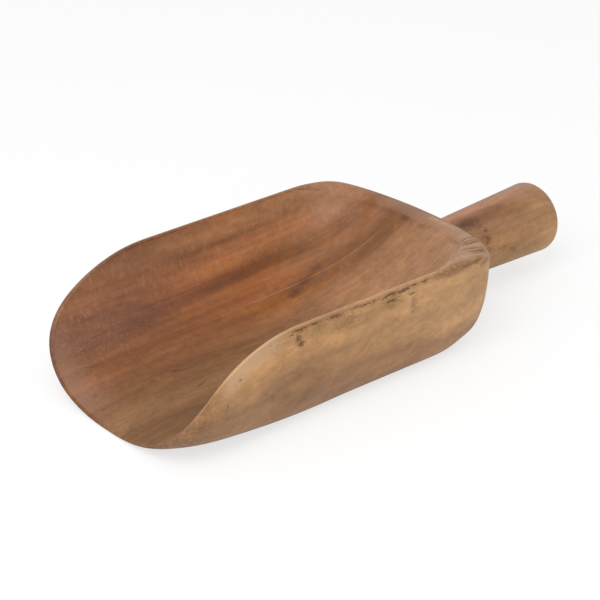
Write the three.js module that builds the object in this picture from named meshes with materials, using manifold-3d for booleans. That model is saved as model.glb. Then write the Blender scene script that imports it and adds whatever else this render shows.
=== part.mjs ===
// Carved wooden scoop for grain or flour: an open trough with a turned handle glued into its back.
// Millimetres, +Z up. X runs from the lip to the end of the handle. The sides mirror each other in Y, apart from one
// back corner of the hollow.
import * as THREE from 'three';
import { mergeVertices } from 'three/addons/utils/BufferGeometryUtils.js';
import loadManifold from 'manifold-3d';

// The bowl from above: a squarish rounded lip, straight sides and a bowed back
const BOWL_LENGTH = 206;
const BOWL_WIDTH = 119;
const LIP_DEPTH = 34;
const LIP_SQUARENESS = 5;
const BACK_DEPTH = 75;
const BACK_SQUARENESS = 13;
const BACK_BOW = 16;

// The bowl from the side: the front is cut along a quarter ellipse, and the rim falls a little at the back
const SIDE_HEIGHT = 57;
const LIP_HEIGHT = 0.8;
const FRONT_CUT_LENGTH = 67;
const BACK_DROP = 7.5;
const BACK_DROP_LENGTH = 45;

// The underside: a flat foot, and round walls that rise from its edge to the rim
const FOOT_FRONT = 110;
const FOOT_TO_BACK = 10;
const FOOT_WIDTH = 76;
const FOOT_NOSE_DEPTH = 22;
const FOOT_NOSE_SQUARENESS = 2.6;
const FOOT_TAIL_DEPTH = 32;
const FOOT_TAIL_SQUARENESS = 4;
const FOOT_BOW = 5;
const WALL_ROUNDNESS = 2.4;

// The rim: thin at the lip and the sides, and a broad land across the back and its corners
const RIM_WIDTH = 2;
const RIM_CROWN = 0.8;
const LIP_EDGE_DEPTH = 1.2;
const LIP_THICKNESS = 1.4;
const BACK_LAND_WIDTH = 11;

// The hollow: a small level floor, steep sides, and gentle ramps to the lip and the back
const HOLLOW_BACK_SQUARENESS = 6;
const HOLLOW_ROUNDNESS = 2.1;
const FLOOR_THICKNESS = 9;
const FLOOR_FRONT = 45;
const FLOOR_LENGTH = 55;
const FLOOR_WIDTH = 34;
const FLOOR_END_DEPTH = 19;
const FLOOR_SQUARENESS = 2.5;
const FLOOR_BOW = 3;

// One back corner of the hollow is cut straight, which leaves the land broad there. Each end of the cut is given
// from the lip and from the middle line
const CORNER_CUT_FRONT = 154;
const CORNER_CUT_FRONT_REACH = 57.5;
const CORNER_CUT_BACK = 193;
const CORNER_CUT_BACK_REACH = 33.5;
const CORNER_CUT_SHARPNESS = 30;

// The handle: flared towards its end, tilted up a little, with a tenon in the bowl's back
const HANDLE_LENGTH = 74;
const HANDLE_ROOT_DIAMETER = 32;
const HANDLE_END_DIAMETER = 37.5;
const HANDLE_END_ROUND = 6.5;
const HANDLE_ABOVE_MIDDLE = 1.5;
const HANDLE_TILT = THREE.MathUtils.degToRad(1.25);
const SEAT_DEPTH = 1;
const TENON_DIAMETER = 16;
const TENON_LENGTH = 16;
const TENON_CHAMFER = 1.5;
const GLUE_GAP = 0.3;

// How finely the curves are cut into facets
const END_STEPS = 20;
const SIDE_STEPS = 12;
const WALL_STEPS = 11;
const RIM_STEPS = 6;
const HOLLOW_STEPS = 14;
const TURNING_STEPS = 64;
const ROUND_STEPS = 8;

const backHeight = SIDE_HEIGHT - BACK_DROP;
const handleHeight = backHeight / 2 + HANDLE_ABOVE_MIDDLE;

// How far a rounded rectangle's edge lies from its centre, at an angle from its length
function roundedReach(angle, halfLength, halfWidth, squareness) {
  const along = (Math.cos(angle) / halfLength) ** squareness;
  const across = (Math.sin(angle) / halfWidth) ** squareness;
  return (along + across) ** (-1 / squareness);
}

// One side of an outline seen from above, from the middle of its front to the middle of its back
function halfOutline({ front, back, halfWidth, noseDepth, noseSquareness, tailDepth, tailSquareness, bow }) {
  const points = [];
  const noseX = front + noseDepth;
  const tailX = back - tailDepth;
  for (let i = 0; i < END_STEPS; i++) {
    const angle = (i / END_STEPS) * Math.PI / 2;
    const reach = roundedReach(angle, noseDepth, halfWidth, noseSquareness);
    points.push(new THREE.Vector2(noseX - reach * Math.cos(angle), reach * Math.sin(angle)));
  }
  for (let i = 0; i < SIDE_STEPS; i++) {
    points.push(new THREE.Vector2(THREE.MathUtils.lerp(noseX, tailX, i / SIDE_STEPS), halfWidth));
  }
  // The bow draws the back's corners forward
  for (let i = 0; i <= END_STEPS; i++) {
    const angle = (1 - i / END_STEPS) * Math.PI / 2;
    const reach = roundedReach(angle, tailDepth, halfWidth, tailSquareness);
    const y = reach * Math.sin(angle);
    const drawn = 1 - (bow / tailDepth) * (y / halfWidth) ** 2;
    points.push(new THREE.Vector2(tailX + reach * Math.cos(angle) * drawn, y));
  }
  return points;
}

// The same outline with its back corner drawn in to a straight cut, whose ends are eased
function cutCorner(outline) {
  const front = new THREE.Vector2(CORNER_CUT_FRONT, CORNER_CUT_FRONT_REACH);
  const back = new THREE.Vector2(CORNER_CUT_BACK, CORNER_CUT_BACK_REACH);
  const middle = new THREE.Vector2(BOWL_LENGTH - BACK_DEPTH, 0);
  const across = new THREE.Vector2(front.y - back.y, back.x - front.x).normalize();
  const room = across.dot(front.sub(middle));
  return outline.map((point) => {
    const out = point.clone().sub(middle);
    const reached = Math.max(0, across.dot(out) / room);
    const drawn = (1 + reached ** CORNER_CUT_SHARPNESS) ** (-1 / CORNER_CUT_SHARPNESS);
    return middle.clone().addScaledVector(out, drawn);
  });
}

// Height of the rim's outer edge at a distance from the lip
function rimEdgeHeight(x) {
  const ahead = Math.max(0, 1 - x / FRONT_CUT_LENGTH);
  const behind = Math.max(0, x - (BOWL_LENGTH - BACK_DROP_LENGTH)) / BACK_DROP_LENGTH;
  const rise = SIDE_HEIGHT - RIM_CROWN - LIP_HEIGHT;
  return LIP_HEIGHT + rise * Math.sqrt(1 - ahead ** 2) - BACK_DROP * behind ** 2;
}

const rimOutline = halfOutline({
  front: 0,
  back: BOWL_LENGTH,
  halfWidth: BOWL_WIDTH / 2,
  noseDepth: LIP_DEPTH,
  noseSquareness: LIP_SQUARENESS,
  tailDepth: BACK_DEPTH,
  tailSquareness: BACK_SQUARENESS,
  bow: BACK_BOW,
});

const hollowOutline = halfOutline({
  front: LIP_EDGE_DEPTH,
  back: BOWL_LENGTH - BACK_LAND_WIDTH,
  halfWidth: BOWL_WIDTH / 2 - RIM_WIDTH,
  noseDepth: LIP_DEPTH,
  noseSquareness: LIP_SQUARENESS,
  tailDepth: BACK_DEPTH - BACK_LAND_WIDTH,
  tailSquareness: HOLLOW_BACK_SQUARENESS,
  bow: BACK_BOW,
});
const cutHollowOutline = cutCorner(hollowOutline);

const footOutline = halfOutline({
  front: FOOT_FRONT,
  back: BOWL_LENGTH - FOOT_TO_BACK,
  halfWidth: FOOT_WIDTH / 2,
  noseDepth: FOOT_NOSE_DEPTH,
  noseSquareness: FOOT_NOSE_SQUARENESS,
  tailDepth: FOOT_TAIL_DEPTH,
  tailSquareness: FOOT_TAIL_SQUARENESS,
  bow: FOOT_BOW,
});

const floorOutline = halfOutline({
  front: FLOOR_FRONT,
  back: FLOOR_FRONT + FLOOR_LENGTH,
  halfWidth: FLOOR_WIDTH / 2,
  noseDepth: FLOOR_END_DEPTH,
  noseSquareness: FLOOR_SQUARENESS,
  tailDepth: FLOOR_END_DEPTH,
  tailSquareness: FLOOR_SQUARENESS,
  bow: FLOOR_BOW,
});

// The outer wall's point on one line from foot to rim: share 0 is the foot and 1 is the rim's outer edge
function wallPoint(i, share) {
  const angle = share * Math.PI / 2;
  const out = Math.sin(angle) ** (2 / WALL_ROUNDNESS);
  const up = 1 - Math.cos(angle) ** (2 / WALL_ROUNDNESS);
  const plan = footOutline[i].clone().lerp(rimOutline[i], out);
  return new THREE.Vector3(plan.x, plan.y, up * rimEdgeHeight(rimOutline[i].x));
}

// Height of the rim's inner edge, which stands above the outer edge at the lip only
function hollowEdgeHeight(i) {
  const x = rimOutline[i].x;
  const ahead = Math.max(0, 1 - x / FRONT_CUT_LENGTH);
  return rimEdgeHeight(x) + LIP_THICKNESS * ahead ** 2;
}

// The crowned rim: share 0 is its outer edge and 1 is its inner edge, which is the hollow's outline
function rimPoint(i, share, hollow) {
  const across = (1 - Math.cos(share * Math.PI)) / 2;
  const plan = rimOutline[i].clone().lerp(hollow[i], across);
  const base = THREE.MathUtils.lerp(rimEdgeHeight(rimOutline[i].x), hollowEdgeHeight(i), across);
  return new THREE.Vector3(plan.x, plan.y, base + RIM_CROWN * Math.sin(share * Math.PI));
}

// The hollow's point on one line from rim to floor: walls are steeper to the sides than to the ends
function hollowPoint(i, share, hollow) {
  const sideways = hollow[i].clone().sub(floorOutline[i]).normalize().y;
  const steepness = 1 + (HOLLOW_ROUNDNESS - 1) * sideways ** 2;
  const out = Math.cos(share * Math.PI / 2);
  const up = 1 - (1 - out ** HOLLOW_ROUNDNESS) ** (1 / steepness);
  const plan = floorOutline[i].clone().lerp(hollow[i], out);
  return new THREE.Vector3(plan.x, plan.y, THREE.MathUtils.lerp(FLOOR_THICKNESS, hollowEdgeHeight(i), up));
}

// A closed ring of points: one side as it is, then the other side mirrored, with the cut corner
function ring(pointAt, share) {
  const side = rimOutline.map((_, i) => pointAt(i, share, hollowOutline));
  const cutSide = rimOutline.map((_, i) => pointAt(i, share, cutHollowOutline)).slice(1, -1).reverse();
  return [...side, ...cutSide.map((p) => new THREE.Vector3(p.x, -p.y, p.z))];
}

// Skins the rings in order and closes the first and the last with a fan
function loft(rings) {
  const count = rings[0].length;
  const lastRing = (rings.length - 1) * count;
  const middleOf = (loop) => loop[0].clone().add(loop[rimOutline.length - 1]).divideScalar(2);
  const points = [...rings.flat(), middleOf(rings[0]), middleOf(rings[rings.length - 1])];
  const firstMiddle = points.length - 2;
  const lastMiddle = points.length - 1;
  const faces = [];
  for (let i = 0; i < count; i++) {
    const next = (i + 1) % count;
    faces.push(firstMiddle, i, next);
    for (let start = 0; start < lastRing; start += count) {
      faces.push(start + i, start + count + i, start + next);
      faces.push(start + next, start + count + i, start + count + next);
    }
    faces.push(lastMiddle, lastRing + next, lastRing + i);
  }
  const geometry = new THREE.BufferGeometry().setFromPoints(points);
  geometry.setIndex(faces);
  return geometry;
}

// A solid turned about X from a profile of [distance along X, radius] pairs
function turned(profile) {
  const points = profile.map(([along, radius]) => new THREE.Vector2(radius, along));
  return new THREE.LatheGeometry(points, TURNING_STEPS).rotateZ(-Math.PI / 2);
}

const wasm = await loadManifold();
wasm.setup();

function toSolid(geometry) {
  const bare = geometry.clone();
  bare.deleteAttribute('normal');
  bare.deleteAttribute('uv');
  const merged = mergeVertices(bare);
  const vertProperties = new Float32Array(merged.attributes.position.array);
  const triVerts = new Uint32Array(merged.index.array);
  return new wasm.Manifold(new wasm.Mesh({ numProp: 3, vertProperties, triVerts }));
}

function toGeometry(solid) {
  const { vertProperties, triVerts } = solid.getMesh();
  const geometry = new THREE.BufferGeometry();
  geometry.setAttribute('position', new THREE.BufferAttribute(vertProperties, 3));
  geometry.setIndex(new THREE.BufferAttribute(triVerts, 1));
  geometry.computeVertexNormals();
  return geometry;
}

// Distance in X of the bowl's back at a height, on its middle line
function backAt(height) {
  const up = THREE.MathUtils.clamp(height / (backHeight - RIM_CROWN), 0, 1);
  const out = (1 - (1 - up) ** WALL_ROUNDNESS) ** (1 / WALL_ROUNDNESS);
  return THREE.MathUtils.lerp(BOWL_LENGTH - FOOT_TO_BACK, BOWL_LENGTH, out);
}

// The handle's own X starts at the bowl's back, and its shoulder is sunk until all of it lies in the wood
const shoulder = backAt(handleHeight - HANDLE_ROOT_DIAMETER / 2) - BOWL_LENGTH - SEAT_DEPTH;
const handleMatrix = new THREE.Matrix4()
  .makeRotationY(-HANDLE_TILT)
  .setPosition(BOWL_LENGTH, 0, handleHeight);

function makeBowl() {
  const shares = (steps) => Array.from({ length: steps }, (_, k) => k / steps);
  const blank = loft([
    ...shares(WALL_STEPS).map((share) => ring(wallPoint, share)),
    ...shares(RIM_STEPS).map((share) => ring(rimPoint, share)),
    ...shares(HOLLOW_STEPS).map((share) => ring(hollowPoint, share)),
    ring(hollowPoint, 1),
  ]);
  const socketEnd = shoulder - TENON_LENGTH - GLUE_GAP;
  const seat = shoulder - GLUE_GAP;
  const socket = turned([
    [socketEnd, 0],
    [socketEnd, TENON_DIAMETER / 2 + GLUE_GAP],
    [seat, TENON_DIAMETER / 2 + GLUE_GAP],
    [seat, HANDLE_ROOT_DIAMETER / 2 + GLUE_GAP],
    [HANDLE_LENGTH, HANDLE_ROOT_DIAMETER / 2 + GLUE_GAP],
    [HANDLE_LENGTH, 0],
  ]).applyMatrix4(handleMatrix);
  return toGeometry(toSolid(blank).subtract(toSolid(socket)));
}

function makeHandle() {
  const rootRadius = HANDLE_ROOT_DIAMETER / 2;
  const endRadius = HANDLE_END_DIAMETER / 2;
  const tenonRadius = TENON_DIAMETER / 2;
  const roundStart = HANDLE_LENGTH - HANDLE_END_ROUND;
  const profile = [
    [shoulder - TENON_LENGTH, 0],
    [shoulder - TENON_LENGTH, tenonRadius - TENON_CHAMFER],
    [shoulder - TENON_LENGTH + TENON_CHAMFER, tenonRadius],
    [shoulder, tenonRadius],
    [shoulder, rootRadius],
    [0, rootRadius],
  ];
  for (let k = 0; k <= ROUND_STEPS; k++) {
    const angle = (k / ROUND_STEPS) * Math.PI / 2;
    const along = roundStart + HANDLE_END_ROUND * Math.sin(angle);
    profile.push([along, endRadius - HANDLE_END_ROUND * (1 - Math.cos(angle))]);
  }
  profile.push([HANDLE_LENGTH, 0]);
  return turned(profile);
}

const bowl = new THREE.Mesh(
  makeBowl(),
  new THREE.MeshStandardMaterial({ color: 0x9a6a48, roughness: 0.62, metalness: 0 }),
);
bowl.name = 'bowl';

const handle = new THREE.Mesh(
  makeHandle(),
  new THREE.MeshStandardMaterial({ color: 0xa87c58, roughness: 0.6, metalness: 0 }),
);
handle.name = 'handle';
handle.applyMatrix4(handleMatrix);

// The origin lies on the ground, under the middle of the whole scoop
const scoop = new THREE.Group();
scoop.add(bowl, handle);
const extent = new THREE.Box3().setFromObject(scoop, true);
scoop.position.set(-(extent.min.x + extent.max.x) / 2, 0, 0);

export default scoop;
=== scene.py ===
import bpy
import bmesh
import math
from mathutils import Matrix, Vector, noise


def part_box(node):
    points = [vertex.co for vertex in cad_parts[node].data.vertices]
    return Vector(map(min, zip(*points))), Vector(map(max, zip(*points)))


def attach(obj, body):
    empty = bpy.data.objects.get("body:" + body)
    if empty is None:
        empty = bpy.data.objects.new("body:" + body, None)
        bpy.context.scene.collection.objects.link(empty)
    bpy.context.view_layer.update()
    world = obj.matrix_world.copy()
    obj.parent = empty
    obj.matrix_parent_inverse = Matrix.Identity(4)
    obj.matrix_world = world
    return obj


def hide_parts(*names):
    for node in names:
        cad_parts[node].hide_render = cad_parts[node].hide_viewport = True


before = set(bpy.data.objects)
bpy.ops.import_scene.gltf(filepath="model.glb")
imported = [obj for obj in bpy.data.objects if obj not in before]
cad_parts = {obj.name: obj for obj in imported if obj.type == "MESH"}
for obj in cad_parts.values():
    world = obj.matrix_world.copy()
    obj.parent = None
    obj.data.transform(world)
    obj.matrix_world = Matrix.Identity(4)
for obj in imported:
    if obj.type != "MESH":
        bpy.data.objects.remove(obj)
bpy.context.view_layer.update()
mm = 0.001
print("frame loaded:", sorted(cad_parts))


def lerp(a, b, share):
    return a + (b - a) * share


# A soft rise from 0 to 1, a soft fall from 1 to 0, and a rise with a fall after it
def smooth(low, high, value):
    share = min(1, max(0, (value - low) / (high - low)))
    return share * share * (3 - 2 * share)


def fade(low, high, value):
    return 1 - smooth(low, high, value)


def band(rise, fall, value):
    return smooth(*rise, value) * fade(*fall, value)


# Patches from noise, between a least value and 1; fixed coordinates of a place only pick the pattern
def patchy(least, level, swing, place):
    return min(1, max(least, level + swing * noise.noise(Vector(place))))


# The bowl: sizes in millimetres, X from the lip
bowlLow, bowlHigh = [Vector(corner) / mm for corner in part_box("bowl")]
bowlLength = bowlHigh.x - bowlLow.x
halfWidth = bowlHigh.y
sideHeight = bowlHigh.z

bowl = {
    "lipHeight": 0.8, "frontCut": 67, "backDrop": 7.5, "backDropLength": 45,
    "wallRoundness": 2.4, "rimCrown": 0.8, "crownRun": (20, 55), "broadRim": (3, 8), "lipThickness": 1.4,
    "floorThickness": 9, "hollowRoundness": 2.1,
    "landWander": 1.2, "wanderLength": 7, "wanderWidths": (4, 8),
    "wanderSeeds": {"hollow": 2.5, "nearHollow": 7.5},
    "noseColumns": 60, "sideColumns": 68, "tailColumns": 112,
    "footRows": 4, "wallRows": 78, "rimRows": 20, "hollowRows": 76, "floorRows": 4, "rimCrowding": 1.6,
}

# Four outlines seen from above: the rim's edge, the hollow's edge, the foot and the hollow's floor
outlines = {
    "rim": {"front": 0, "back": bowlLength, "half": halfWidth, "bow": 16,
            "noseDepth": 34, "noseSquare": 5, "tailDepth": 75, "tailSquare": 13},
    "hollow": {"front": 1.2, "back": bowlLength - 11, "half": halfWidth - 2, "bow": 16,
               "noseDepth": 34, "noseSquare": 5, "tailDepth": 64, "tailSquare": 6},
    "foot": {"front": 110, "back": bowlLength - 10, "half": 38, "bow": 5,
             "noseDepth": 22, "noseSquare": 2.6, "tailDepth": 32, "tailSquare": 4},
    "floor": {"front": 45, "back": 100, "half": 17, "bow": 3,
              "noseDepth": 19, "noseSquare": 2.5, "tailDepth": 19, "tailSquare": 2.5},
}

# The near corner of the hollow's back is cut straight, from one plan point to the other
nearCut = {"start": (154, 57.5), "end": (193, 33.5), "middle": (131, 0), "sharpness": 30}


def roundedReach(angle, length, width, square):
    along = (math.cos(angle) / length) ** square
    across = (math.sin(angle) / width) ** square
    return (along + across) ** (-1 / square)


# A point of an outline by column: column 0 is the lip's middle, the last one the back's middle
def outlinePoint(line, column):
    noseEnd, tailStart = bowl["noseColumns"], bowl["noseColumns"] + bowl["sideColumns"]
    noseX, tailX = line["front"] + line["noseDepth"], line["back"] - line["tailDepth"]
    if column < noseEnd:
        angle = column / noseEnd * math.pi / 2
        reach = roundedReach(angle, line["noseDepth"], line["half"], line["noseSquare"])
        return Vector((noseX - reach * math.cos(angle), reach * math.sin(angle)))
    if column < tailStart:
        return Vector((lerp(noseX, tailX, (column - noseEnd) / bowl["sideColumns"]), line["half"]))
    angle = (1 - (column - tailStart) / bowl["tailColumns"]) * math.pi / 2
    reach = roundedReach(angle, line["tailDepth"], line["half"], line["tailSquare"])
    y = reach * math.sin(angle)
    drawn = 1 - line["bow"] / line["tailDepth"] * (y / line["half"]) ** 2
    return Vector((tailX + reach * math.cos(angle) * drawn, y))


def cutCorner(point):
    start, end, middle = [Vector(nearCut[name]) for name in ("start", "end", "middle")]
    across = Vector((start.y - end.y, end.x - start.x)).normalized()
    reached = max(0, across.dot(point - middle) / across.dot(start - middle))
    return middle.lerp(point, (1 + reached ** nearCut["sharpness"]) ** (-1 / nearCut["sharpness"]))


# The inner edge of the back land wanders a little, as a gouge leaves it
def wanderingEdge(name, seed):
    edge = []
    for point, rim in zip(lines[name], lines["rim"]):
        width = (rim - point).length
        wander = bowl["landWander"] * smooth(*bowl["wanderWidths"], width)
        wander *= noise.noise(Vector((point.y / bowl["wanderLength"], seed, 0)))
        edge.append(point.lerp(rim, wander / width))
    return edge


lastColumn = bowl["noseColumns"] + bowl["sideColumns"] + bowl["tailColumns"]
lines = {name: [outlinePoint(line, column) for column in range(lastColumn + 1)]
         for name, line in outlines.items()}
lines["nearHollow"] = [cutCorner(point) for point in lines["hollow"]]
for name, seed in bowl["wanderSeeds"].items():
    lines[name] = wanderingEdge(name, seed)


# Rim height over the outline: a quarter ellipse at the front, a slow fall at the back
def rimHeight(x):
    ahead = max(0, 1 - x / bowl["frontCut"])
    behind = max(0, x - bowlLength + bowl["backDropLength"]) / bowl["backDropLength"]
    rise = sideHeight - bowl["rimCrown"] - bowl["lipHeight"]
    return bowl["lipHeight"] + rise * math.sqrt(max(0, 1 - ahead ** 2)) - bowl["backDrop"] * behind ** 2


def hollowHeight(x):
    return rimHeight(x) + bowl["lipThickness"] * max(0, 1 - x / bowl["frontCut"]) ** 2


# One point of the bowl's skin: rows run from the foot's middle up the wall, over the rim and down the hollow
def bowlPoint(column, row, near):
    rim, foot, floor = [lines[name][column] for name in ("rim", "foot", "floor")]
    hollow = lines["nearHollow" if near else "hollow"][column]
    edge, inner = rimHeight(rim.x), hollowHeight(rim.x)
    if row <= bowl["footRows"]:
        middle = (lines["foot"][0] + lines["foot"][-1]) / 2
        return middle.lerp(foot, row / bowl["footRows"]).to_3d(), "foot"
    row -= bowl["footRows"]
    if row <= bowl["wallRows"]:
        # rows lie closer near the rim
        angle = (1 - (1 - row / bowl["wallRows"]) ** bowl["rimCrowding"]) * math.pi / 2
        power = 2 / bowl["wallRoundness"]
        plan = foot.lerp(rim, math.sin(angle) ** power)
        return Vector((plan.x, plan.y, edge * (1 - max(0, math.cos(angle)) ** power))), "wall"
    row -= bowl["wallRows"]
    if row <= bowl["rimRows"]:
        turn = row / bowl["rimRows"] * math.pi
        across = (1 - math.cos(turn)) / 2
        plan = rim.lerp(hollow, across)
        bead = bowl["rimCrown"] * math.sin(turn) ** (1 + smooth(*bowl["broadRim"], (rim - hollow).length))
        flush = (inner - edge) * across * (1 - across)  # the lip runs into the hollow without a crease
        height = lerp(edge, inner, across) + lerp(flush, bead, smooth(*bowl["crownRun"], rim.x))
        return Vector((plan.x, plan.y, height)), "rim"
    row -= bowl["rimRows"]
    if row <= bowl["hollowRows"]:
        sideways = (hollow - floor).normalized().y
        steep = 1 + (bowl["hollowRoundness"] - 1) * sideways ** 2
        out = max(0, math.cos(row / bowl["hollowRows"] * math.pi / 2))
        up = 1 - (1 - out ** bowl["hollowRoundness"]) ** (1 / steep)
        plan = floor.lerp(hollow, out)
        return Vector((plan.x, plan.y, lerp(bowl["floorThickness"], inner, up))), "hollow"
    row -= bowl["hollowRows"]
    middle = (lines["floor"][0] + lines["floor"][-1]) / 2
    plan = floor.lerp(middle, row / bowl["floorRows"])
    return Vector((plan.x, plan.y, bowl["floorThickness"])), "hollow"


# Marks in the wood, each a soft egg: middle and half sizes along X, Y, Z, and how strong it is
bowlMarks = {
    "bark": [
        ((-91, -59, 52.4), (5, 3, 0.9), 0.6), ((-78, -59, 53.4), (3.5, 3, 1.3), 0.8),
        ((-74.4, -59, 50.4), (4, 3, 4.8), 0.9), ((-72.6, -59, 47), (4, 3, 3), 1),
        ((-66, -59, 55), (4.5, 3, 1), 0.9), ((-59, -59, 54.2), (5, 3, 1.3), 0.6),
        ((-49.5, -59, 53.4), (5, 3, 1.8), 0.7), ((-34.4, -59, 54.2), (4.2, 3, 1), 1),
        ((-22, -59, 54), (6, 3, 1.2), 0.8), ((-10, -59, 54), (8, 3, 2.2), 1),
        ((-17, -59, 51.2), (9, 3, 1.7), 0.8), ((-5, -59, 50.6), (5, 3, 1.7), 0.8),
        ((-115, -58, 30), (2, 4, 2), 0.8), ((-108, -59, 41), (2.4, 4, 2), 0.75),
        ((-121, -57, 21), (2, 4, 1.4), 0.75), ((-87, -4.2, 9), (3, 1.2, 3), 0.75),
        ((-90, 13.7, 9), (4, 1.3, 3), 0.6), ((-116, 6, 8), (2.4, 1, 3), 0.55),
    ],
    "smear": [
        ((-84, -59, 51), (8, 4, 2.6), 0.6), ((-46, -59, 50), (14, 5, 6), 1),
        ((-62, -59, 52), (9, 5, 4), 0.8), ((-3.5, -59, 45), (4, 4, 9), 0.8),
        ((-18, -59, 50), (14, 5, 6), 0.9), ((-14, -59, 40), (6, 5, 5), 0.6),
        ((41, -28.5, 43.5), (5, 5, 4), 0.9), ((-84, -10, 10), (24, 12, 6), 0.5),
        ((36, -59, 47), (5, 5, 4), 0.4),
    ],
    "stain": [
        ((-5, 27.4, 18), (9, 5, 5), 0.9), ((3, 29.4, 21.4), (9, 4, 5), 0.8),
        ((11, 31, 25.5), (9, 4, 5), 0.7), ((8, 43, 32), (12, 4, 4), 0.5),
        ((-18, 44, 31), (14, 4, 4), 0.4), ((45, -19, 43), (1.4, 3, 3), 0.8),
        ((50, -28, 51), (5, 8, 4), 0.6), ((-90, 13.7, 9), (4, 2, 3), 0.8),
        ((-87, -4.2, 9), (3, 1.4, 3), 0.9), ((-104, 13, 9), (4, 2, 3), 0.6),
        ((-133.5, 12, 4), (3, 2.4, 3), 0.6), ((-131, 22, 6.5), (2.4, 1.6, 3), 0.7),
        ((22, -59, 54.4), (30, 5, 5), 0.8), ((42, -57, 51), (12, 6, 4), 0.7),
        ((37, -59, 54), (10, 5, 2.6), 1), ((-94, -58, 28), (5, 5, 4), 0.4),
        ((-30, -58, 30), (16, 5, 5), 0.3),
    ],
    # pale eggs by the bark knots are painted highlights; the two at the lip are lighter wood
    "pale": [
        ((-79.5, -59, 47.6), (3.4, 3, 1.2), 1), ((-75.6, -59, 45.2), (2.6, 3, 1.2), 1),
        ((-24, -59, 50.6), (3, 3, 1), 0.8), ((-8, -59, 49), (3, 3, 1), 0.7),
        ((-52, -59, 49.6), (3, 3, 1), 0.6), ((-136, -5, 3), (7, 10, 5), 0.3),
        ((-133, -17, 4), (7, 12, 6), 0.2),
    ],
}
markCore = 0.15  # the share of a mark's half size that has its full strength


def markValue(marks, point):
    value = 0
    for middle, halfSizes, strength in marks:
        if abs(point.x - middle[0]) > halfSizes[0]:
            continue
        away = math.sqrt(sum(((p - m) / h) ** 2 for p, m, h in zip(point, middle, halfSizes)))
        value = max(value, strength * fade(markCore, 1, away))
    return value


# Carving: gouge flutes on the near back corner, a bark crevice under the near rim, a torn edge, tool waves
# and softened edges; most pairs say where a thing comes in or fades, and patches are what patchy is given
carving = {
    "flutes": ((-33.2, 0.06), (-37.6, 0.05), (-40.9, 0.06), (-48.6, 0.4), (-52.4, 0.35), (-55.6, 0.3)),
    "fluteX": 48, "fluteRun": (34, 46), "fluteAcross": (-0.1, 0.25), "fluteDepth": 1.2, "fluteHalf": 1.1,
    "fluteWobble": 1.4, "fluteWobbleSize": (5, 3),
    "creviceRun": (-92, 44), "creviceEnds": (12, 6), "creviceSide": -40, "creviceBelow": 1.6,
    "creviceHalf": 0.6, "creviceDepth": 0.5, "shadeWidening": 3,
    "creviceWobble": 0.6, "creviceWobbleLength": 9,
    "crevicePatches": (0.25, 0.7, 0.8), "crevicePatchLength": 7,
    "tornRise": (-12, 8), "tornFall": (34, 44), "tornWidth": 4, "tornDepth": 0.3,
    "tornPatches": (0, 0.5, 1.1), "tornPatchLength": 6,
    "waveDepth": 0.22, "waveLength": 26, "waveSquash": 1.6, "waveHeights": (0.5, 8), "barkDepth": 0.4,
    "cornerX": (30, 46), "cornerY": (26, 44), "cornerRound": 3.5, "cornerLift": 1.4, "liftHeights": (25, 50),
    "landRound": 0.4, "innerSink": 0.35, "innerWidth": 5,
    "farY": (24, 44), "farRound": 9, "farWidths": (3, 6),
    "nearX": (-10, 20), "nearRound": 4, "nearRoundShare": 0.9,
}


# A flute is a narrow groove: where it crosses one X, and how far it drifts sideways per millimetre beyond
def fluteValue(point):
    length, width = carving["fluteWobbleSize"]
    wobble = carving["fluteWobble"] * noise.noise(Vector((point.x / length, point.y / width, 4)))
    away = min(abs(point.y + wobble - start + drift * (point.x - carving["fluteX"]))
               for start, drift in carving["flutes"])
    return smooth(*carving["fluteRun"], point.x) * math.exp(-(away / carving["fluteHalf"]) ** 2)


# The crevice itself and the painted brown shade around it
def creviceValues(point):
    start, stop = carving["creviceRun"]
    startLength, stopLength = carving["creviceEnds"]
    run = smooth(0, startLength, point.x - start) * smooth(0, stopLength, stop - point.x)
    run *= patchy(*carving["crevicePatches"], (point.x / carving["crevicePatchLength"], 0, 5))
    wobble = carving["creviceWobble"] * noise.noise(Vector((point.x / carving["creviceWobbleLength"], 3, 0)))
    below = rimHeight(point.x - bowlLow.x) - point.z - carving["creviceBelow"] - wobble
    return [run * math.exp(-(below / (carving["creviceHalf"] * widening)) ** 2)
            for widening in (1, carving["shadeWidening"])]


# A torn shadow line on the hollow's side of the back land, along the land's far half
def tornValue(point, downward):
    patch = patchy(*carving["tornPatches"], (9, point.y / carving["tornPatchLength"], 0))
    patch *= band(carving["tornRise"], carving["tornFall"], point.y)
    return patch * fade(carving["tornWidth"] / 3, carving["tornWidth"], downward)


# How far a square edge falls back along its diagonal when it is rounded, this far from the edge
def edgeRound(radius, away):
    away = max(0, away)
    if away >= radius:
        return 0
    return (radius * 2 - away - math.sqrt(2 * radius ** 2 - away ** 2)) / math.sqrt(2)


def farCorner(point):
    return smooth(*carving["farY"], point.y)


# How a point moves: the near back corner is lifted, the land sinks towards the hollow, edges are rounded
def edgeShift(point, place):
    part, width, downward, below = [place[name] for name in ("part", "width", "downward", "below")]
    upward = Vector((0, 0, 1))
    corner = smooth(*carving["cornerY"], -point.y) * smooth(*carving["cornerX"], point.x)
    shift = upward * carving["cornerLift"] * corner * smooth(*carving["liftHeights"], point.z)
    broad = smooth(*bowl["broadRim"], width)
    if part in ("rim", "hollow"):
        sink = carving["innerSink"] * broad * fade(0, carving["innerWidth"], downward)
        radius = min(width, carving["farRound"]) * farCorner(point) * smooth(*carving["farWidths"], width)
        if place["near"]:
            radius = min(carving["nearRoundShare"] * width, carving["nearRound"])
            radius *= smooth(*carving["nearX"], point.x)
        away = downward if part == "rim" else math.hypot(downward, below)
        shift -= upward * sink + (upward + place["middleward"]).normalized() * edgeRound(radius, away)
    if part in ("rim", "wall"):
        radius = broad * lerp(carving["landRound"], carving["cornerRound"], corner)
        away = place["inward"] if part == "rim" else below
        shift -= (upward - place["middleward"]).normalized() * edgeRound(radius, away)
    return shift
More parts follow.
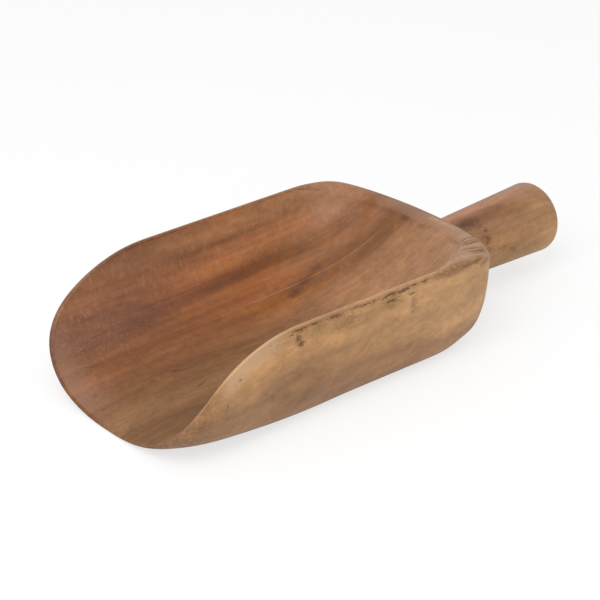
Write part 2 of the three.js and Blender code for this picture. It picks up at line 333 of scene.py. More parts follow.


# Pale wood and painted highlights: the sawn bevel beside the falling near rim, lighter also as a painted
# highlight on its lit face, the worn crest of that rim, and a painted highlight on the near corner's ridges
paleWoodAndHighlight = {
    "bevelRise": (-124, -112), "bevelFall": (-92, -72), "bevelReach": (3, 14), "steepest": 0.02,
    "crestRise": (0.1, 0.35), "crestFall": (0.6, 0.85), "crestX": (-112, -96), "crest": 0.7,
    "crestPatches": (0.2, 0.6, 0.9), "crestPatchLength": 4,
    "ridgeHighlight": 0.45, "ridgesX": (24, 40), "ridgesY": (-5, 34),
}


def paleAndHighlightValue(point, part, across):
    bevel = band(paleWoodAndHighlight["bevelRise"], paleWoodAndHighlight["bevelFall"], point.x)
    if part == "rim":
        crest = paleWoodAndHighlight["crest"] * smooth(*paleWoodAndHighlight["crestX"], point.x)
        crest *= band(paleWoodAndHighlight["crestRise"], paleWoodAndHighlight["crestFall"], across)
        crest *= patchy(*paleWoodAndHighlight["crestPatches"], (point.x / paleWoodAndHighlight["crestPatchLength"], 1, 8))
        # painted highlight on the near corner's ridges
        ridgeHighlight = smooth(*paleWoodAndHighlight["ridgesY"], -point.y) * smooth(*paleWoodAndHighlight["ridgesX"], point.x)
        return max(bevel, crest, paleWoodAndHighlight["ridgeHighlight"] * ridgeHighlight)
    if part != "wall":
        return 0
    fromLip = point.x - bowlLow.x
    ahead = max(0, 1 - fromLip / bowl["frontCut"])
    slope = sideHeight / bowl["frontCut"] * ahead / math.sqrt(max(paleWoodAndHighlight["steepest"], 1 - ahead ** 2))
    below = (rimHeight(fromLip) - point.z) / math.sqrt(1 + slope ** 2)
    return bevel * fade(*paleWoodAndHighlight["bevelReach"], below)


# Wear, stain and painted shade: how strong each is, and where it comes in or fades, along X or Y, across the
# rim or down
wearAndShade = {
    "lipShade": 0.55, "lipShadeX": (-132, -106), "lipShadeY": (20, 45),
    "landWidths": (3, 9), "innerLoss": 0.4, "innerAcross": (0.6, 1), "farLand": 0.6, "farReach": (4, 18),
    "spill": 0.3, "spillReach": (0, 3),
    "lipEdgeShade": 0.5, "lipEdgeX": (-114, -96), "lipEdgeY": (-15, 15), "lipEdgeAcross": (0.7, 1),
    "farRimShade": 0.65, "farRimRise": (-138, -118), "farRimFall": (20, 45),
    "nearRim": 0.6, "nearRimX": (-100, -85), "nearRimReach": (0.8, 2.2),
    "flute": 1.2, "fluteAcross": (0.75, 1),
    "greyLipX": (-140, -110), "greyLipY": (-15, 30),
    "ledge": 0.9, "ledgeX": (-5, 30), "ledgeY": (20, 34), "ledgeReach": (1, 5),
    "torn": 0.9, "tornLand": 4, "shade": 0.8, "barkLoss": 0.5, "barkLossX": (0, 15),
}


def atLeast(vert, layer, value):
    vert[layer] = max(vert[layer], value)


# The near wall and its rim get painted shade towards the lip
def shadeNearLip(vert, layers):
    lipShade = fade(*wearAndShade["lipShadeX"], vert.co.x) * smooth(*wearAndShade["lipShadeY"], -vert.co.y)
    atLeast(vert, layers["stain"], wearAndShade["lipShade"] * lipShade)


# Each part's wear and painted shade set the attributes of a point and give the depth that is cut away there
def wearAndShadeRim(vert, layers, place):
    x, y = vert.co.xy
    share = place["inward"] / place["width"]
    wide, far = smooth(*wearAndShade["landWidths"], place["width"]), farCorner(vert.co)
    broad = wide * (1 - far)
    shadeNearLip(vert, layers)
    atLeast(vert, layers["land"], broad * (1 - wearAndShade["innerLoss"] * smooth(*wearAndShade["innerAcross"], share)))
    atLeast(vert, layers["land"], wearAndShade["farLand"] * far * wide)
    # painted shade along the lip's edge, strongest on the far side
    lipEdgeShade = fade(*wearAndShade["lipEdgeX"], x) * smooth(*wearAndShade["lipEdgeY"], y) * fade(*wearAndShade["lipEdgeAcross"], share)
    atLeast(vert, layers["stain"], wearAndShade["lipEdgeShade"] * lipEdgeShade)
    if not place["near"]:
        # painted shade along the thin far rim, darkening its crown's highlight
        thin = (1 - broad) * band(wearAndShade["farRimRise"], wearAndShade["farRimFall"], x)
        atLeast(vert, layers["stain"], wearAndShade["farRimShade"] * thin)
        return 0
    flute = fluteValue(vert.co) * smooth(*carving["fluteAcross"], share)
    atLeast(vert, layers["land"], wearAndShade["nearRim"] * smooth(*wearAndShade["nearRimX"], x))
    # painted shade in the flute grooves
    atLeast(vert, layers["stain"], wearAndShade["flute"] * flute * fade(*wearAndShade["fluteAcross"], share))
    return carving["fluteDepth"] * flute


def wearAndShadeHollow(vert, layers, place):
    x, y = vert.co.xy
    downward = place["downward"]
    greyLip = fade(*wearAndShade["greyLipX"], x) * smooth(*wearAndShade["greyLipY"], y)
    atLeast(vert, layers["land"], greyLip)
    if place["near"]:
        ledge = smooth(*wearAndShade["ledgeX"], x) * smooth(*wearAndShade["ledgeY"], -y)
        ledge *= fade(*wearAndShade["ledgeReach"], math.hypot(downward, place["below"]))
        atLeast(vert, layers["land"], wearAndShade["ledge"] * ledge)
    if place["width"] <= wearAndShade["tornLand"]:
        return 0
    wide, far = smooth(*wearAndShade["landWidths"], place["width"]), farCorner(vert.co)
    atLeast(vert, layers["land"], wearAndShade["spill"] * wide * (1 - far) * fade(*wearAndShade["spillReach"], downward))
    atLeast(vert, layers["land"], wearAndShade["farLand"] * far * wide * fade(*wearAndShade["farReach"], downward))
    torn = tornValue(vert.co, downward)
    atLeast(vert, layers["stain"], wearAndShade["torn"] * torn)
    return carving["tornDepth"] * torn * smooth(0, 1, downward)


def wearAndShadeWall(vert, layers, place):
    x, y, z = vert.co
    shadeNearLip(vert, layers)
    squash = carving["waveSquash"]
    wave = noise.noise(Vector((x, y * squash, z * squash)) / carving["waveLength"])
    depth = carving["waveDepth"] * (wave + 0.5) * smooth(*carving["waveHeights"], z)
    if y >= carving["creviceSide"]:
        return depth
    crevice, shade = creviceValues(vert.co)
    topEdge = fade(*wearAndShade["nearRimReach"], place["below"]) * smooth(*wearAndShade["nearRimX"], x)
    atLeast(vert, layers["land"], wearAndShade["nearRim"] * topEdge)
    atLeast(vert, layers["bark"], crevice * (1 - wearAndShade["barkLoss"] * smooth(*wearAndShade["barkLossX"], x)))
    atLeast(vert, layers["stain"], wearAndShade["shade"] * shade)
    return depth + carving["creviceDepth"] * crevice


wearAndShadeOf = {"rim": wearAndShadeRim, "hollow": wearAndShadeHollow, "wall": wearAndShadeWall}


# The skin is a grid bent into place, with what the carving needs to know of each point
def bowlSkin():
    rows = sum(bowl[name] for name in ("footRows", "wallRows", "rimRows", "hollowRows", "floorRows"))
    bm = bmesh.new()
    bmesh.ops.create_grid(bm, x_segments=2 * lastColumn, y_segments=rows, size=0.5)
    # Of these layers, one holds stains and painted shade, and one holds pale wood and painted highlights
    layers = {name: bm.verts.layers.float.new(name) for name in ("bark", "smear", "stain", "land", "pale")}
    places = {}
    for vert in bm.verts:
        column = round((vert.co.x + 0.5) * 2 * lastColumn)
        row = round((vert.co.y + 0.5) * rows)
        near = column > lastColumn
        side = -1 if near else 1
        column = min(column, 2 * lastColumn - column)
        point, part = bowlPoint(column, row, near)
        vert.co = (bowlLow.x + point.x, side * point.y, point.z)
        rim, hollow = lines["rim"][column], lines["nearHollow" if near else "hollow"][column]
        plan = point.to_2d()
        middleward = (lines["floor"][column] - hollow).normalized()
        places[vert] = {
            "part": part, "near": near, "width": (rim - hollow).length, "inward": (rim - plan).length,
            "downward": (hollow - plan).length, "below": rimHeight(rim.x) - point.z,
            "middleward": Vector((middleward.x, side * middleward.y, 0)),
        }
    bmesh.ops.reverse_faces(bm, faces=bm.faces)  # the bent grid comes out inside out
    bm.normal_update()
    return bm, layers, places


def makeBowl():
    bm, layers, places = bowlSkin()
    for vert, place in places.items():
        part = place["part"]
        for name, marks in bowlMarks.items():
            vert[layers[name]] = markValue(marks, vert.co)
        depth = carving["barkDepth"] * vert[layers["bark"]]
        if part in wearAndShadeOf:
            depth += wearAndShadeOf[part](vert, layers, place)
        if place["near"]:
            atLeast(vert, layers["pale"], paleAndHighlightValue(vert.co, part, place["inward"] / place["width"]))
        vert.co += edgeShift(vert.co, place) - vert.normal * depth
    bmesh.ops.remove_doubles(bm, verts=bm.verts, dist=0.01)
    bmesh.ops.recalc_face_normals(bm, faces=bm.faces)
    bmesh.ops.scale(bm, vec=(mm, mm, mm), verts=bm.verts)
    return finishPiece(bm, "carved_bowl")


def finishPiece(bm, name):
    mesh = bpy.data.meshes.new(name)
    bm.to_mesh(mesh)
    bm.free()
    mesh.shade_smooth()
    piece = bpy.data.objects.new(name, mesh)
    bpy.context.collection.objects.link(piece)
    print("made", name, len(mesh.polygons), "faces")
    return piece


# The handle: turned about its own axis, from the tenon's end to the rounded grip
handle = {
    "length": 74, "rootRadius": 16, "endRadius": 18.75, "endRound": 6.5, "tilt": 1.25, "height": 26.25,
    "shoulder": -3.94, "tenonRadius": 8, "tenonLength": 16, "tenonChamfer": 1.5, "glueGap": 0.3,
    "turnSteps": 160, "lengthSteps": 64, "roundSteps": 14, "capSteps": 4,
    "waveDepth": 0.18, "waveLength": 18, "waveStretch": 2, "waveStart": 8, "barkDepth": 0.4,
}

handleMarks = {
    "bark": [
        ((86.5, -9, 41), (6, 7, 5), 0.6), ((89.5, -12.6, 38), (4, 5, 4), 0.55),
        ((88.6, -15.4, 34), (4, 5, 6), 0.55), ((88.4, -16.8, 29), (5, 5, 5), 0.6),
        ((97, -17.2, 27.6), (7, 5, 3), 0.45), ((104, -17.4, 24.6), (4, 5, 4), 0.5),
    ],
    "smear": [
        ((92, -16, 28), (9, 7, 7), 0.6), ((87, -12, 36), (6, 6, 6), 0.6),
    ],
    "stain": [
        ((82, -6, 41.5), (14, 7, 6), 0.8), ((88, -14, 34), (7, 7, 8), 0.7),
        ((98, -17, 27), (9, 6, 4), 0.5), ((104, -17, 23.6), (6, 6, 5), 0.5),
    ],
}


def handlePlace():
    return (Matrix.Translation((bowlHigh.x, 0, handle["height"]))
            @ Matrix.Rotation(-math.radians(handle["tilt"]), 4, "Y"))


# A turned solid from a profile of distances along the handle and radii
def turned(profile):
    bm = bmesh.new()
    verts = [bm.verts.new((along, 0, radius)) for along, radius in profile]
    edges = [bm.edges.new(pair) for pair in zip(verts, verts[1:])]
    bmesh.ops.spin(bm, geom=verts + edges, cent=(0, 0, 0), axis=(1, 0, 0), dvec=(0, 0, 0),
                   angle=math.tau, steps=handle["turnSteps"], use_merge=True, use_duplicate=False)
    bmesh.ops.remove_doubles(bm, verts=bm.verts, dist=0.001)
    bmesh.ops.recalc_face_normals(bm, faces=bm.faces)
    bmesh.ops.transform(bm, matrix=handlePlace(), verts=bm.verts)
    return bm


def makeHandle():
    root, end, endRound = handle["rootRadius"], handle["endRadius"], handle["endRound"]
    shoulder, tenon, chamfer = handle["shoulder"], handle["tenonRadius"], handle["tenonChamfer"]
    tenonEnd, roundStart = shoulder - handle["tenonLength"], handle["length"] - endRound
    profile = [(tenonEnd, 0), (tenonEnd, tenon - chamfer), (tenonEnd + chamfer, tenon),
               (shoulder, tenon), (shoulder, root), (0, root)]
    for step in range(1, handle["lengthSteps"]):
        share = step / handle["lengthSteps"]
        profile.append((roundStart * share, lerp(root, end, share)))
    for step in range(handle["roundSteps"] + 1):
        turn = step / handle["roundSteps"] * math.pi / 2
        profile.append((roundStart + endRound * math.sin(turn), end - endRound * (1 - math.cos(turn))))
    for step in range(1, handle["capSteps"] + 1):
        profile.append((handle["length"], (end - endRound) * (1 - step / handle["capSteps"])))
    bm = turned(profile)
    layers = {name: bm.verts.layers.float.new(name) for name in handleMarks}
    bm.normal_update()
    for vert in bm.verts:
        for name, marks in handleMarks.items():
            vert[layers[name]] = markValue(marks, vert.co)
        x, y, z = vert.co
        wave = noise.noise(Vector((x / handle["waveStretch"], y, z)) / handle["waveLength"])
        rise = handle["waveDepth"] * (wave - 0.5) - handle["barkDepth"] * vert[layers["bark"]]
        vert.co += vert.normal * rise * smooth(bowlHigh.x, bowlHigh.x + handle["waveStart"], x)
    bmesh.ops.scale(bm, vec=(mm, mm, mm), verts=bm.verts)
    return finishPiece(bm, "turned_handle")


# The socket in the bowl's back: the tenon's bore and the handle root's seat, with the glue gap
def cutSocket(piece):
    gap, length = handle["glueGap"], handle["length"]
    seat = handle["shoulder"] - gap
    end = seat - handle["tenonLength"]
    bore, root = handle["tenonRadius"] + gap, handle["rootRadius"] + gap
    bm = turned([(end, 0), (end, bore), (seat, bore), (seat, root), (length, root), (length, 0)])
    bmesh.ops.scale(bm, vec=(mm, mm, mm), verts=bm.verts)
    cutter = finishPiece(bm, "socket_cutter")
    cut = piece.modifiers.new("socket", "BOOLEAN")
    cut.operation = "DIFFERENCE"
    cut.object = cutter
    cutMesh = bpy.data.meshes.new_from_object(piece.evaluated_get(bpy.context.evaluated_depsgraph_get()))
    piece.modifiers.clear()
    piece.data = cutMesh
    bpy.data.objects.remove(cutter)
    print("socket cut:", len(cutMesh.polygons), "faces left, with", cutMesh.attributes.keys())


bowlPiece = makeBowl()
cutSocket(bowlPiece)
handlePiece = makeHandle()
for piece, node in ((bowlPiece, "bowl"), (handlePiece, "handle")):
    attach(piece, "root")
    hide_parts(node)


# Materials: colours are sRGB hex, patterns are sized in millimetres
def srgb(hexColour):
    channels = [int(hexColour[i:i + 2], 16) / 255 for i in (0, 2, 4)]
    return [c / 12.92 if c <= 0.04045 else ((c + 0.055) / 1.055) ** 2.4 for c in channels] + [1]


# One node with its settings and links; a colour ramp's stops are pairs of place and hex colour
def addNode(tree, kind, settings=None, links=None):
    node = tree.nodes.new(kind)
    for name, value in (settings or {}).items():
        if name == "stops":
            elements = node.color_ramp.elements
            while len(elements) < len(value):
                elements.new(1)
            for element, (place, colour) in zip(elements, value):
                element.position = place
                element.color = srgb(colour)
        elif isinstance(name, str) and hasattr(node, name):
            setattr(node, name, value)
        else:
            node.inputs[name].default_value = value
    for name, source in (links or {}).items():
        tree.links.new(source, node.inputs[name])
    return node


# Settings that many nodes share
softStep = {"interpolation_type": "SMOOTHSTEP"}
mixColours = {"data_type": "RGBA"}
times = {"operation": "MULTIPLY"}

# Growth rings lie round a pith that runs just outside the far rim, a little askew to the scoop
pith = {"start": (0, 63.9, 52.9), "run": (1, -0.046, 0.068), "ringSpan": 130,
        "sway": 3, "swaySize": (70, 16), "drift": 60}

# Heartwood colours by distance from the pith in millimetres: near the lip, in the middle and at the back
bowlRings = [
    [(9, "a27253"), (13, "86583b"), (16, "8a5b3e"), (20, "7d4f34"), (26, "764930"), (33, "6d4128"),
     (39, "704222"), (42, "784727"), (47, "73411a"), (52, "7f4c28"), (60, "784a2a"), (68, "754c2b"),
     (74, "764d2a"), (82, "7f5937"), (87, "7d5735"), (93, "6d4826"), (98, "6c4826"), (103, "725030"),
     (108, "704c2a"), (114, "795637"), (122, "926b46")],
    [(8, "a57149"), (10, "a6714b"), (12.8, "83522f"), (15, "935d38"), (18.5, "a5673d"), (22, "a46737"),
     (25, "9c6031"), (28, "763f13"), (30, "6f3a09"), (33, "773f0b"), (36.3, "9c5d2a"), (38.5, "9a5a26"),
     (41.5, "8b4d18"), (44.5, "8b4f1f"), (48, "82480f"), (51, "82490f"), (54, "864f1d"), (57, "89562c"),
     (60, "875832"), (66, "805632"), (72, "7b532e"), (77, "85603b"), (83, "8e6741"), (88, "8c6541"),
     (94, "80572f"), (104, "875f39"), (114, "8d6540"), (122, "946b47")],
    [(8, "9d6e4a"), (11, "95623c"), (14, "9a653d"), (20, "96623b"), (23, "8e5b36"), (26, "845128"),
     (29, "784617"), (32, "764415"), (35, "845228"), (38, "875630"), (41, "84532c"), (44, "74451c"),
     (47, "75461d"), (50.5, "6f421c"), (53.5, "7a4c26"), (56, "895c3a"), (59, "946643"), (63, "966742"),
     (70, "9b6f4a"), (80, "9f714e"), (90, "9a704f"), (97, "9c7553"), (108, "9f744c"), (122, "9c724b")],
]
bowlJoins = [(-98, -10), (-28, 26)]

# The same for the handle: at its root and at its end
handleRings = [
    [(50, "927060"), (57, "a07558"), (61, "a57353"), (64, "8e6242"), (66.5, "7f5534"), (69.5, "7a512f"),
     (72.5, "825938"), (75.5, "936846"), (79, "956b44"), (83, "a0764b"), (88, "a77b4d")],
    [(50, "97786a"), (57, "a17a62"), (62, "9f7354"), (66, "966b4a"), (70, "92673f"), (74, "99724c"),
     (79, "976e47"), (83, "a67c51"), (88, "ae865b")],
]
handleJoins = [(110, 126)]

# Sapwood in the near upper wall: its lower edge runs from one height to the other below the pith's line
sapwood = {"front": "b08253", "rear": "b58b5e", "run": (-50, 40), "edge": (-15, -37), "soft": 10,
           "sway": 26, "depth": (112, 118)}

# One thin pale seam between two rings: its ring, half width, where along the grain it starts and stops
seam = {"ring": 46.9, "half": 0.25, "start": (-70, -20), "stop": (50, 38), "share": 0.42,
        "broken": (0.3, 0.65), "colour": "b58d6f"}

# Grain patterns: length along the grain and width across it in millimetres, and how strongly each shows;
# real fibres, pores and dry specks are finer, these are wide enough to show
grainPatterns = {
    "blotches": {"size": (30, 9), "detail": 4, "rough": 0.5, "share": 0.4},
    "fibres": {"size": (12, 0.8), "detail": 3, "rough": 0.5, "share": 0.07},
    "ringLines": {"size": (60, 2.2), "detail": 4, "rough": 0.55, "share": 0.3},
    "mottle": {"size": (5, 3.4), "detail": 6, "rough": 0.72, "share": 0.48},
    "crossRipples": {"size": (2.2, 6), "detail": 3, "rough": 0.6, "share": 0.24,
                     "edge": (0.5, 0.7), "colour": "b98a68"},
    "pores": {"size": (4, 0.6), "detail": 1, "rough": 0.5, "share": 0.14,
              "edge": (0.6, 0.75), "colour": "7a5c48"},
    "specks": {"size": (1, 0.8), "detail": 0, "rough": 0.5, "share": 0.13,
               "edge": (0.66, 0.76), "colour": "c4a488"},
    "grit": {"size": (1.7, 0.9), "detail": 5, "rough": 0.5},
}

# Ripples show near the pith, and a little in the lighter blotches as far out as their reach
rippleZone = {"nearPith": (20, 32), "lighter": (0.5, 0.62), "lighterShare": 0.5, "reach": 75}

# Specks show towards the lip, in a belt of rings
speckZone = {"lip": (-100, -70), "ring": 45, "half": 18}

# What each mark does to the wood: how it is laid on, its colour, how broken its edge is and its strength
markLooks = {
    "land": {"blend": "MIX", "colour": "8e6a54", "broken": 1, "edge": (0.1, 1.2), "share": 0.65},
    # pale wood and painted highlights, mixed in
    "pale": {"blend": "MIX", "colour": "c09b77", "broken": 1.3, "edge": (0.1, 1.1), "share": 0.72},
    # stains and painted shade, multiplied into the wood
    "stain": {"blend": "MULTIPLY", "colour": "a88c76", "broken": 1, "edge": (0.1, 1.1), "share": 0.9},
    "smear": {"blend": "MIX", "colour": "7d5f34", "broken": 2.6, "edge": (0.2, 1.1), "share": 0.6},
    "bark": {"blend": "MIX", "colour": "513511", "broken": 1.7, "edge": (0.3, 1), "share": 0.85},
}

# Oil soaks in unevenly along the ring lines, and open fibres roughen the skin
oiledSkin = {"specular": 0.45, "lines": (0.3, 0.7), "roughness": (0.66, 0.5), "bump": 0.2, "bumpDepth": 0.3}


# Millimetres along the pith and across it; slow waves bend the rings by a millimetre or so
def woodPlace(tree):
    turn = Vector(pith["run"]).rotation_difference(Vector((1, 0, 0)))
    place = addNode(tree, "ShaderNodeTexCoord").outputs["Object"]
    grain = addNode(tree, "ShaderNodeMapping", {
        "Location": -(turn @ Vector(pith["start"])), "Rotation": turn.to_euler(), "Scale": [1 / mm] * 3,
    }, {"Vector": place}).outputs[0]
    length, width = pith["swaySize"]
    slow = addNode(tree, "ShaderNodeMapping", {"Scale": (1 / length, 1 / width, 1 / width)},
                   {"Vector": grain}).outputs[0]
    sway = addNode(tree, "ShaderNodeTexNoise", {"Scale": 1, "Detail": 3}, {"Vector": slow}).outputs["Color"]
    sway = addNode(tree, "ShaderNodeVectorMath", {"operation": "SUBTRACT", 1: [0.5] * 3},
                   {0: sway}).outputs[0]
    bent = addNode(tree, "ShaderNodeVectorMath", {
        "operation": "MULTIPLY_ADD", 1: (0, pith["sway"], pith["sway"]),
    }, {0: sway, 2: grain}).outputs[0]
    bent = addNode(tree, "ShaderNodeVectorMath", {**times, 1: (0, 1, 1)}, {0: bent}).outputs[0]
    ring = addNode(tree, "ShaderNodeVectorMath", {"operation": "LENGTH"}, {0: bent}).outputs["Value"]
    grainAxes = addNode(tree, "ShaderNodeSeparateXYZ", None, {0: grain}).outputs
    swayAxes = addNode(tree, "ShaderNodeSeparateXYZ", None, {0: sway}).outputs
    drift = addNode(tree, "ShaderNodeMath", {"operation": "MULTIPLY_ADD", 1: pith["drift"]},
                    {0: swayAxes["X"], 2: grainAxes["X"]}).outputs[0]
    return {"grain": grain, "along": grainAxes["X"], "upward": grainAxes["Z"],
            "ring": ring, "drift": drift, "swayUp": swayAxes["Z"]}


# Heartwood: one ramp of rings for each stretch of the log, run into each other
def heartwood(tree, place, rings, joins):
    ringShare = addNode(tree, "ShaderNodeMath", {"operation": "DIVIDE", 1: pith["ringSpan"]},
                        {0: place["ring"]}).outputs[0]
    colours = []
    for stops in rings:
        stops = [(distance / pith["ringSpan"], shade) for distance, shade in stops]
        ramp = addNode(tree, "ShaderNodeValToRGB", {"stops": stops}, {"Fac": ringShare})
        colours.append(ramp.outputs["Color"])
    colour = colours[0]
    for (low, high), nextColour in zip(joins, colours[1:]):
        share = addNode(tree, "ShaderNodeMapRange", {**softStep, "From Min": low, "From Max": high},
                        {"Value": place["drift"]}).outputs[0]
        colour = addNode(tree, "ShaderNodeMix", mixColours, {0: share, 6: colour, 7: nextColour}).outputs[2]
    return colour


def addSapwood(tree, place, colour):
    low, high = sapwood["run"]
    rearShare = addNode(tree, "ShaderNodeMapRange", {"From Min": low, "From Max": high},
                        {"Value": place["drift"]}).outputs[0]
    low, high = sapwood["edge"]
    edge = addNode(tree, "ShaderNodeMapRange", {"To Min": low, "To Max": high},
                   {"Value": rearShare}).outputs[0]
    height = addNode(tree, "ShaderNodeMath", {"operation": "MULTIPLY_ADD", 1: sapwood["sway"]},
                     {0: place["swayUp"], 2: place["upward"]}).outputs[0]
    height = addNode(tree, "ShaderNodeMath", {"operation": "SUBTRACT"}, {0: height, 1: edge}).outputs[0]
    soft = sapwood["soft"]
    above = addNode(tree, "ShaderNodeMapRange", {**softStep, "From Min": -soft, "From Max": soft},
                    {"Value": height}).outputs[0]
    low, high = sapwood["depth"]
    deep = addNode(tree, "ShaderNodeMapRange", {**softStep, "From Min": low, "From Max": high},
                   {"Value": place["ring"]}).outputs[0]
    share = addNode(tree, "ShaderNodeMath", times, {0: above, 1: deep}).outputs[0]
    sapColour = addNode(tree, "ShaderNodeMix", {
        **mixColours, 6: srgb(sapwood["front"]), 7: srgb(sapwood["rear"]),
    }, {0: rearShare}).outputs[2]
    return addNode(tree, "ShaderNodeMix", mixColours, {0: share, 6: colour, 7: sapColour}).outputs[2]


# Patterns lie in the straight grain, but the ring lines follow the rings
def makePatterns(tree, place):
    ringPlace = addNode(tree, "ShaderNodeCombineXYZ", None, {0: place["along"], 1: place["ring"]}).outputs[0]
    patterns = {}
    for pattern, look in grainPatterns.items():
        length, width = look["size"]
        sized = addNode(tree, "ShaderNodeMapping", {"Scale": (1 / length, 1 / width, 1 / width)},
                        {"Vector": ringPlace if pattern == "ringLines" else place["grain"]}).outputs[0]
        patterns[pattern] = addNode(tree, "ShaderNodeTexNoise", {
            "Scale": 1, "Detail": look["detail"], "Roughness": look["rough"],
        }, {"Vector": sized}).outputs[0]
    return patterns


# Where the cross ripples show
def rippleShare(tree, place, patterns):
    low, high = rippleZone["nearPith"]
    nearPith = addNode(tree, "ShaderNodeMapRange", {
        **softStep, "From Min": low, "From Max": high, "To Min": 1, "To Max": 0,
    }, {"Value": place["ring"]}).outputs[0]
    low, high = rippleZone["lighter"]
    lighter = addNode(tree, "ShaderNodeMapRange", {
        **softStep, "From Min": low, "From Max": high, "To Max": rippleZone["lighterShare"],
    }, {"Value": patterns["blotches"]}).outputs[0]
    inner = addNode(tree, "ShaderNodeMath", {"operation": "LESS_THAN", 1: rippleZone["reach"]},
                    {0: place["ring"]}).outputs[0]
    share = addNode(tree, "ShaderNodeMath", times, {0: lighter, 1: inner}).outputs[0]
    return addNode(tree, "ShaderNodeMath", {"operation": "MAXIMUM"}, {0: nearPith, 1: share}).outputs[0]


# Where the dry specks show
def speckShare(tree, place):
    low, high = speckZone["lip"]
    lipShare = addNode(tree, "ShaderNodeMapRange", {
        **softStep, "From Min": low, "From Max": high, "To Min": 1, "To Max": 0,
    }, {"Value": place["drift"]}).outputs[0]
    belt = addNode(tree, "ShaderNodeMath", {
        "operation": "COMPARE", 1: speckZone["ring"], 2: speckZone["half"],
    }, {0: place["ring"]}).outputs[0]
    return addNode(tree, "ShaderNodeMath", times, {0: lipShare, 1: belt}).outputs[0]


# The seam is broken up by grit, and fades in and out along the scoop
def seamShare(tree, place, patterns):
    line = addNode(tree, "ShaderNodeMath", {"operation": "COMPARE", 1: seam["ring"], 2: seam["half"]},
                   {0: place["ring"]}).outputs[0]
    for low, high in (seam["start"], seam["stop"]):
        run = addNode(tree, "ShaderNodeMapRange", {**softStep, "From Min": low, "From Max": high},
                      {"Value": place["along"]}).outputs[0]
        line = addNode(tree, "ShaderNodeMath", times, {0: line, 1: run}).outputs[0]
    low, high = seam["broken"]
    broken = addNode(tree, "ShaderNodeMapRange", {"From Min": low, "From Max": high, "To Max": seam["share"]},
                     {"Value": patterns["grit"]}).outputs[0]
    return addNode(tree, "ShaderNodeMath", times, {0: line, 1: broken}).outputs[0]


# Light and dark grain, pale ripples and specks in their zones, the seam, and dark pores all over
def addGrain(tree, place, patterns, colour):
    for pattern in ("blotches", "fibres", "ringLines", "mottle"):
        colour = addNode(tree, "ShaderNodeMix", {
            **mixColours, "blend_type": "OVERLAY", 0: grainPatterns[pattern]["share"],
        }, {6: colour, 7: patterns[pattern]}).outputs[2]
    shares = {}
    for pattern, step in (("crossRipples", softStep), ("specks", {}), ("pores", {})):
        look = grainPatterns[pattern]
        shares[pattern] = addNode(tree, "ShaderNodeMapRange", {
            **step, "From Min": look["edge"][0], "From Max": look["edge"][1], "To Max": look["share"],
        }, {"Value": patterns[pattern]}).outputs[0]
    zones = {"crossRipples": rippleShare(tree, place, patterns), "specks": speckShare(tree, place)}
    for pattern, zone in zones.items():
        share = addNode(tree, "ShaderNodeMath", times, {0: shares[pattern], 1: zone}).outputs[0]
        colour = addNode(tree, "ShaderNodeMix", {**mixColours, 7: srgb(grainPatterns[pattern]["colour"])},
                         {0: share, 6: colour}).outputs[2]
    colour = addNode(tree, "ShaderNodeMix", {**mixColours, 7: srgb(seam["colour"])},
                     {0: seamShare(tree, place, patterns), 6: colour}).outputs[2]
    return addNode(tree, "ShaderNodeMix", {
        **mixColours, "blend_type": "MULTIPLY", 7: srgb(grainPatterns["pores"]["colour"]),
    }, {0: shares["pores"], 6: colour}).outputs[2]


# Marks are laid on by the piece's own attributes, their edges broken up by grit
def addMarks(tree, patterns, colour):
    for mark, look in markLooks.items():
        value = addNode(tree, "ShaderNodeAttribute", {"attribute_name": mark}).outputs["Fac"]
        grit = addNode(tree, "ShaderNodeMath", {
            "operation": "MULTIPLY_ADD", 1: look["broken"], 2: -look["broken"] / 2,
        }, {0: patterns["grit"]}).outputs[0]
        value = addNode(tree, "ShaderNodeMath", {"operation": "ADD"}, {0: value, 1: grit}).outputs[0]
        share = addNode(tree, "ShaderNodeMapRange", {
            **softStep, "From Min": look["edge"][0], "From Max": look["edge"][1], "To Max": look["share"],
        }, {"Value": value}).outputs[0]
        colour = addNode(tree, "ShaderNodeMix", {
            **mixColours, "blend_type": look["blend"], 7: srgb(look["colour"]),
        }, {0: share, 6: colour}).outputs[2]
    return colour


# Acacia, carved and oiled: streaky red-brown heartwood, straw-coloured sapwood, bark left in the near rim
def makeWood(name, rings, joins, hasSapwood):
    material = bpy.data.materials.new(name)
    material.use_nodes = True
    tree = material.node_tree
    place = woodPlace(tree)
    patterns = makePatterns(tree, place)
    colour = heartwood(tree, place, rings, joins)
    if hasSapwood:
        colour = addSapwood(tree, place, colour)
    colour = addGrain(tree, place, patterns, colour)
    colour = addMarks(tree, patterns, colour)
    (lowLine, highLine), (dry, soaked) = oiledSkin["lines"], oiledSkin["roughness"]
    rough = addNode(tree, "ShaderNodeMapRange", {
        "From Min": lowLine, "From Max": highLine, "To Min": dry, "To Max": soaked,
    }, {"Value": patterns["ringLines"]}).outputs[0]
    bump = addNode(tree, "ShaderNodeBump", {
        "Strength": oiledSkin["bump"], "Distance": oiledSkin["bumpDepth"] * mm,
    }, {"Height": patterns["fibres"]}).outputs[0]
    shader = tree.nodes["Principled BSDF"]
    shader.inputs["Specular IOR Level"].default_value = oiledSkin["specular"]
    for socket, source in (("Base Color", colour), ("Roughness", rough), ("Normal", bump)):
        tree.links.new(source, shader.inputs[socket])
    print("material", name, len(tree.nodes), "nodes")
    return material


bowlPiece.data.materials.clear()
bowlPiece.data.materials.append(makeWood("oiledAcaciaBowl", bowlRings, bowlJoins, True))
handlePiece.data.materials.append(makeWood("oiledAcaciaHandle", handleRings, handleJoins, False))

# Studio: a white floor, a white dome and one large soft lamp from the upper front
studio = {
    "floorSize": 4, "floorWhite": 0.94, "shadowShare": 0.3, "domeStrength": 0.72, "white": (1, 1, 1, 1),
    "keyPower": 11, "keySize": 0.9, "keyPlace": (-0.75, -0.45, 1.05),
}


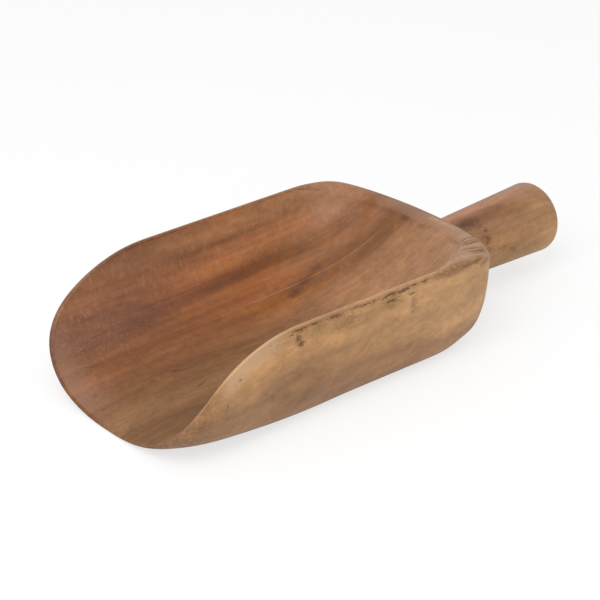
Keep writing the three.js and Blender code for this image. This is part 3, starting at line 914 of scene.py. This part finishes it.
# Rays that see the white background: the camera's, and those that gloss or glass sends on
def backgroundRays(tree):
    path = addNode(tree, "ShaderNodeLightPath").outputs
    seen = addNode(tree, "ShaderNodeMath", {"operation": "MAXIMUM"},
                   {0: path["Is Camera Ray"], 1: path["Is Glossy Ray"]}).outputs[0]
    return addNode(tree, "ShaderNodeMath", {"operation": "MAXIMUM"},
                   {0: seen, 1: path["Is Transmission Ray"]}).outputs[0]


def makeFloor():
    bm = bmesh.new()
    bmesh.ops.create_grid(bm, x_segments=1, y_segments=1, size=studio["floorSize"])
    mesh = bpy.data.meshes.new("floor")
    bm.to_mesh(mesh)
    bm.free()
    floor = bpy.data.objects.new("floor", mesh)
    bpy.context.collection.objects.link(floor)
    material = bpy.data.materials.new("whitePaper")
    material.use_nodes = True
    tree = material.node_tree
    tree.nodes.clear()
    paper = addNode(tree, "ShaderNodeBsdfDiffuse", {"Color": [studio["floorWhite"]] * 3 + [1]}).outputs[0]
    glow = addNode(tree, "ShaderNodeEmission", {"Color": studio["white"], "Strength": 1}).outputs[0]
    keep = addNode(tree, "ShaderNodeMath", {**times, 1: 1 - studio["shadowShare"]},
                   {0: backgroundRays(tree)}).outputs[0]
    mix = addNode(tree, "ShaderNodeMixShader", None, {0: keep, 1: paper, 2: glow}).outputs[0]
    addNode(tree, "ShaderNodeOutputMaterial", None, {"Surface": mix})
    mesh.materials.append(material)


def makeLight():
    world = bpy.data.worlds.new("dome")
    world.use_nodes = True
    bpy.context.scene.world = world
    tree = world.node_tree
    tree.nodes.clear()
    dome, seen = [addNode(tree, "ShaderNodeBackground", {
        "Color": studio["white"], "Strength": strength,
    }).outputs[0] for strength in (studio["domeStrength"], 1)]
    mix = addNode(tree, "ShaderNodeMixShader", None, {0: backgroundRays(tree), 1: dome, 2: seen}).outputs[0]
    addNode(tree, "ShaderNodeOutputWorld", None, {"Surface": mix})
    lamp = bpy.data.lights.new("softbox", "AREA")
    lamp.energy = studio["keyPower"]
    lamp.size = studio["keySize"]
    key = bpy.data.objects.new("softbox", lamp)
    key.location = studio["keyPlace"]
    key.rotation_euler = (-key.location).to_track_quat("-Z", "Y").to_euler()
    bpy.context.collection.objects.link(key)


# Camera: fitted to the outline, looking down on the lip's near corner
view = {"azimuth": -40.09, "elevation": 27.0, "lens": 138, "sensor": 36, "distance": 1127.6,
        "aim": (-17.78, 7.06, 25.68)}


def makeCamera():
    azimuth, elevation = math.radians(view["azimuth"]), math.radians(view["elevation"])
    back = Vector((math.sin(azimuth) * math.cos(elevation), -math.cos(azimuth) * math.cos(elevation),
                   math.sin(elevation)))
    data = bpy.data.cameras.new("camera")
    data.lens = view["lens"]
    data.sensor_width = view["sensor"]
    camera = bpy.data.objects.new("camera", data)
    camera.location = (Vector(view["aim"]) + back * view["distance"]) * mm
    camera.rotation_euler = back.to_track_quat("Z", "Y").to_euler()
    bpy.context.collection.objects.link(camera)
    bpy.context.scene.camera = camera


makeFloor()
makeLight()
makeCamera()
bpy.context.scene.view_settings.view_transform = "Standard"
print("studio ready")
